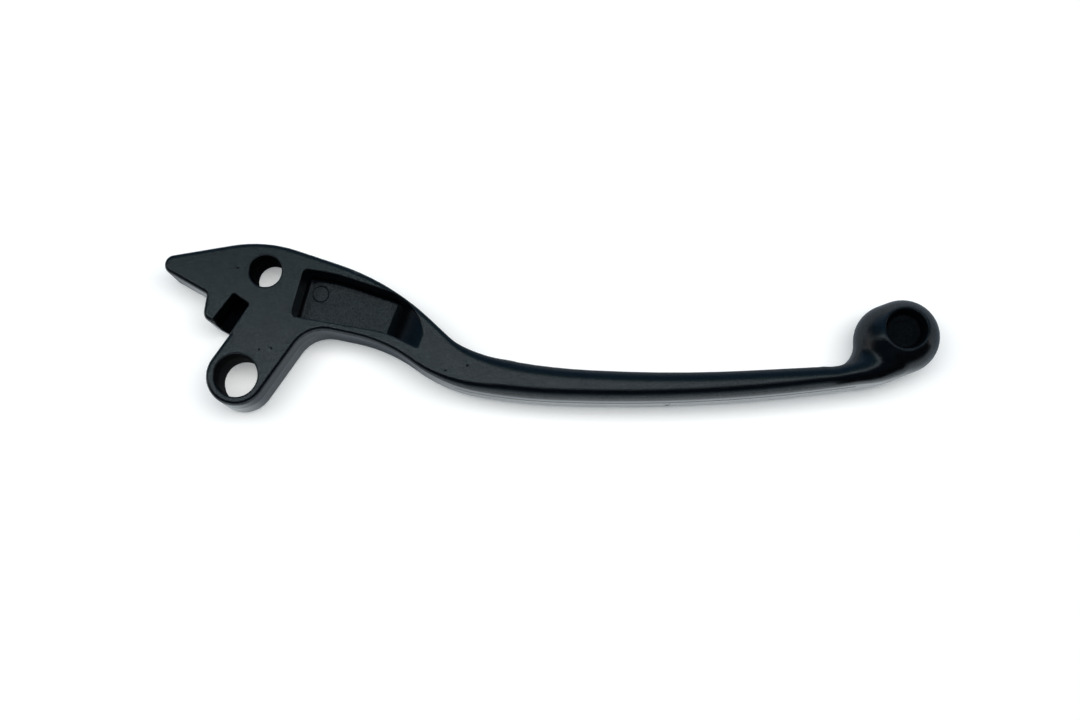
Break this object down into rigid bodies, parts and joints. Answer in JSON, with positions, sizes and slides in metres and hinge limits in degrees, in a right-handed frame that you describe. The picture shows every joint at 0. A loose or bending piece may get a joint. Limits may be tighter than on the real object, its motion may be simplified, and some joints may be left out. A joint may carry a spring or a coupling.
{
  "type": "motorcycle clutch lever",
  "caption": "One-piece cast hand lever for a motorcycle clutch: flat pierced head with a hooked nose, pocketed arm, curved blade and a hollowed knob at the tip, in satin black paint.",
  "frame": {"origin": "middle of the pivot bore, half way through the head's thickness", "axes": "+X along the lever towards the knob, +Z along the pivot bore towards the pocketed face, +Y towards the cable nipple bore"},
  "size_m": [0.1792, 0.0379, 0.0167],
  "materials": {
    "black_paint": "satin black paint on a die casting"
  },
  "bodies": {
    "root": {"lever": "black_paint"}
  },
  "joints": []
}
